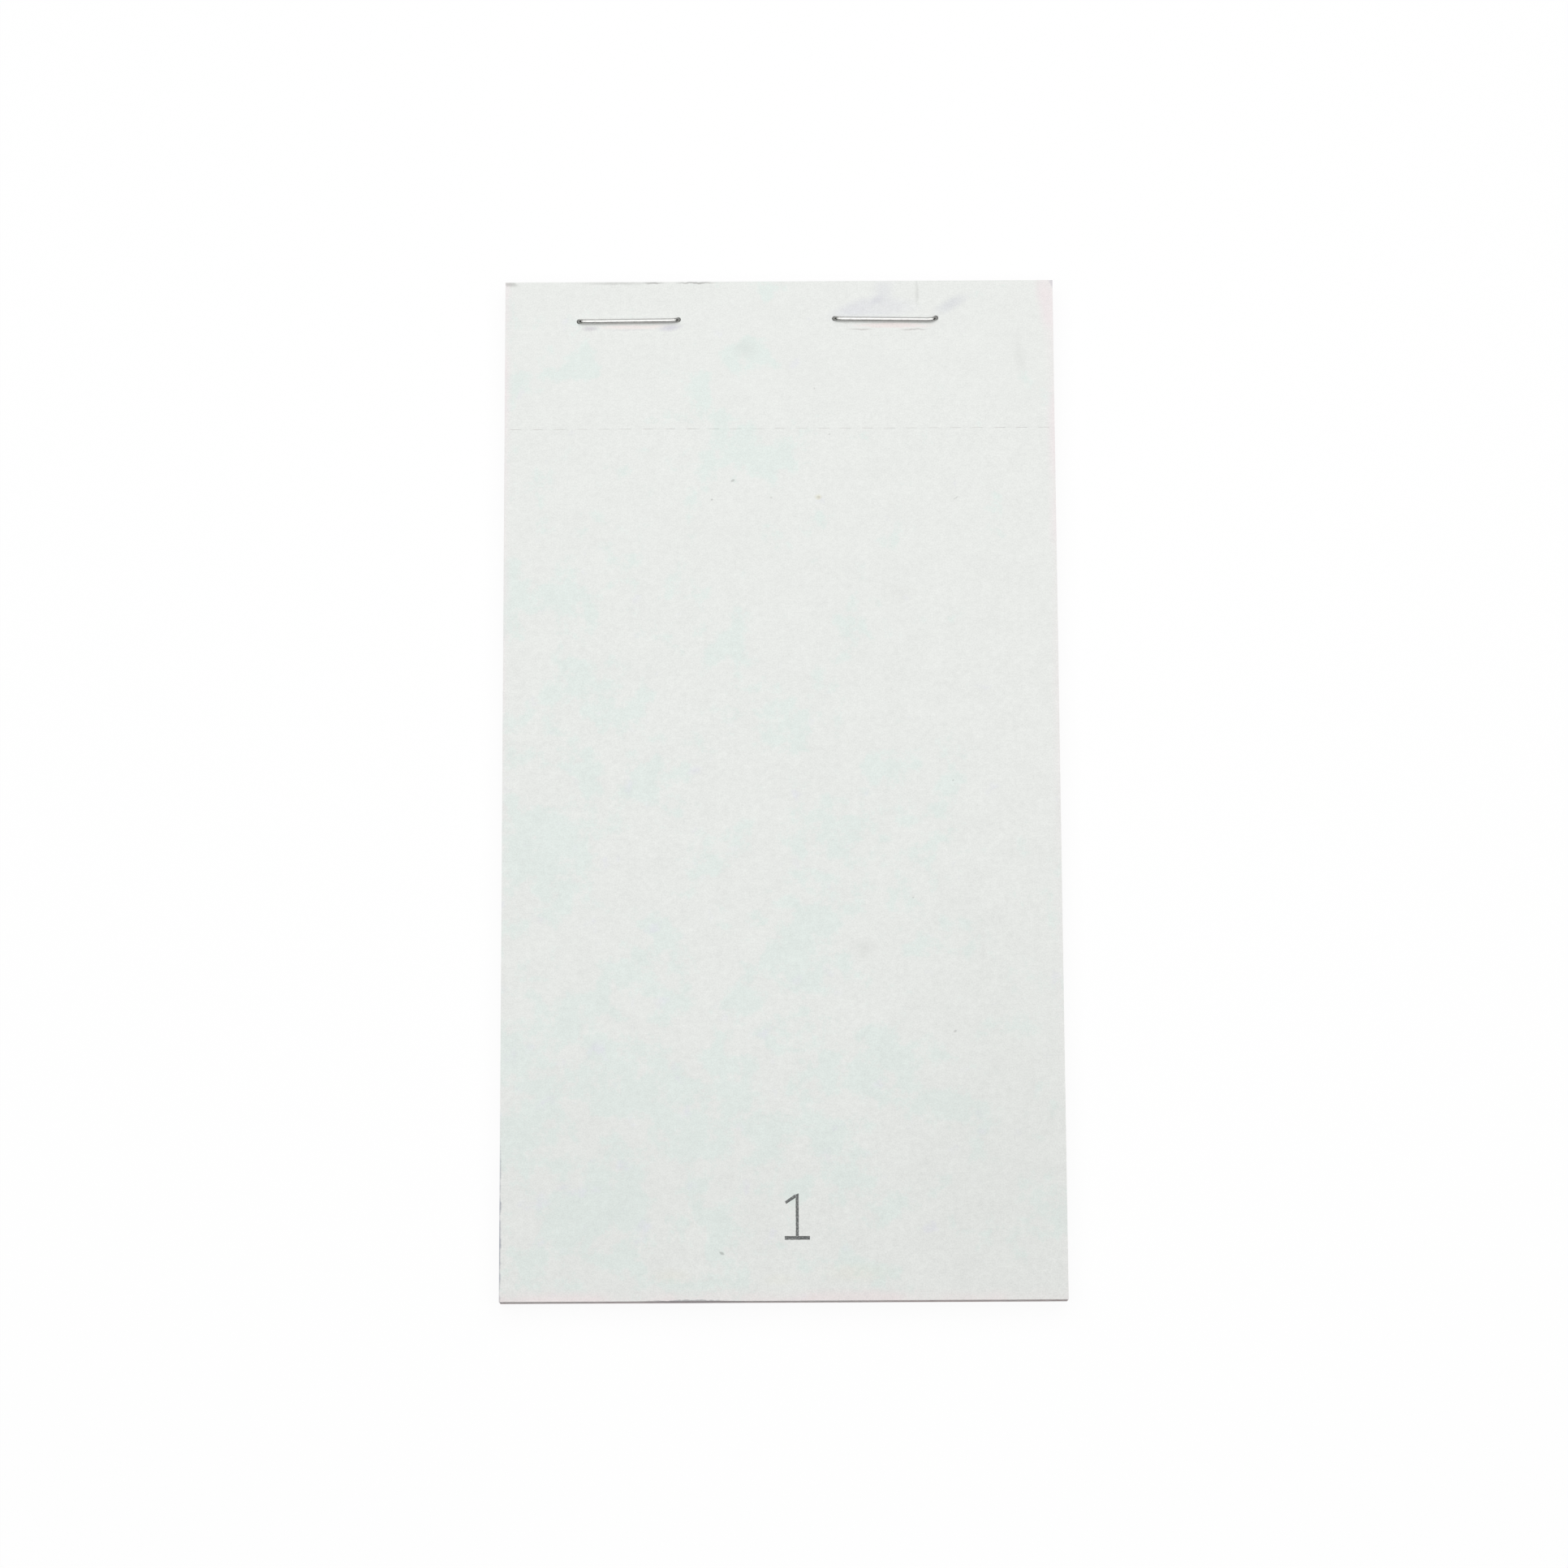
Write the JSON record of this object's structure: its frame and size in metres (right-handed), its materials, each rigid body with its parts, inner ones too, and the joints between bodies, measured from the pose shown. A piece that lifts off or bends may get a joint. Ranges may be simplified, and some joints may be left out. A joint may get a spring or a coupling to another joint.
{
  "type": "order pad",
  "caption": "Stapled duplicate order pad: numbered slips of white and pink paper that fold over at a perforation or tear off, on a grey backing board.",
  "frame": {"origin": "middle of the pad's footprint, on the surface that it lies on", "axes": "+X across the pad to the reader's right, +Y along the pad towards its bound, stapled end, +Z out of the reading face"},
  "size_m": [0.075, 0.1394, 0.0046],
  "materials": {
    "top_copy_paper": "matt, faintly green-grey white, thin",
    "duplicate_paper": "matt, pale pink, thin",
    "grey_board": "matt grey chipboard with fibre flecks",
    "staple_wire": "bright galvanised wire"
  },
  "bodies": {
    "pad": {"backing_board": "grey_board", "staple_left": "staple_wire", "staple_right": "staple_wire", "set_01_top_copy_stub": "top_copy_paper", "set_01_duplicate_stub": "duplicate_paper", "set_02_top_copy": "top_copy_paper", "set_02_duplicate": "duplicate_paper", "set_03_top_copy": "top_copy_paper", "set_03_duplicate": "duplicate_paper", "set_04_top_copy": "top_copy_paper", "set_04_duplicate": "duplicate_paper", "set_05_top_copy": "top_copy_paper", "set_05_duplicate": "duplicate_paper", "set_06_top_copy": "top_copy_paper", "set_06_duplicate": "duplicate_paper", "set_07_top_copy": "top_copy_paper", "set_07_duplicate": "duplicate_paper", "set_08_top_copy": "top_copy_paper", "set_08_duplicate": "duplicate_paper", "set_09_top_copy": "top_copy_paper", "set_09_duplicate": "duplicate_paper", "set_10_top_copy": "top_copy_paper", "set_10_duplicate": "duplicate_paper", "set_11_top_copy": "top_copy_paper", "set_11_duplicate": "duplicate_paper", "set_12_top_copy": "top_copy_paper", "set_12_duplicate": "duplicate_paper", "set_13_top_copy": "top_copy_paper", "set_13_duplicate": "duplicate_paper", "set_14_top_copy": "top_copy_paper", "set_14_duplicate": "duplicate_paper", "set_15_top_copy": "top_copy_paper", "set_15_duplicate": "duplicate_paper", "set_16_top_copy": "top_copy_paper", "set_16_duplicate": "duplicate_paper", "set_17_top_copy": "top_copy_paper", "set_17_duplicate": "duplicate_paper", "set_18_top_copy": "top_copy_paper", "set_18_duplicate": "duplicate_paper", "set_19_top_copy": "top_copy_paper", "set_19_duplicate": "duplicate_paper", "set_20_top_copy": "top_copy_paper", "set_20_duplicate": "duplicate_paper", "set_21_top_copy": "top_copy_paper", "set_21_duplicate": "duplicate_paper", "set_22_top_copy": "top_copy_paper", "set_22_duplicate": "duplicate_paper", "set_23_top_copy": "top_copy_paper", "set_23_duplicate": "duplicate_paper", "set_24_top_copy": "top_copy_paper", "set_24_duplicate": "duplicate_paper", "set_25_top_copy": "top_copy_paper", "set_25_duplicate": "duplicate_paper"},
    "duplicate_copy": {"set_01_duplicate_slip": "duplicate_paper"},
    "top_copy": {"set_01_top_copy_slip": "top_copy_paper"}
  },
  "joints": [
    {"name": "set_tear_off", "type": "slide", "parent": "pad", "child": "duplicate_copy", "axis": [0, -1, 0], "range_m": [0, 0.125]},
    {"name": "top_copy_turn", "type": "hinge", "parent": "duplicate_copy", "child": "top_copy", "pos_m": [0, 0.04885, 0.00395], "axis": [-1, 0, 0], "range_deg": [0, 175]}
  ]
}
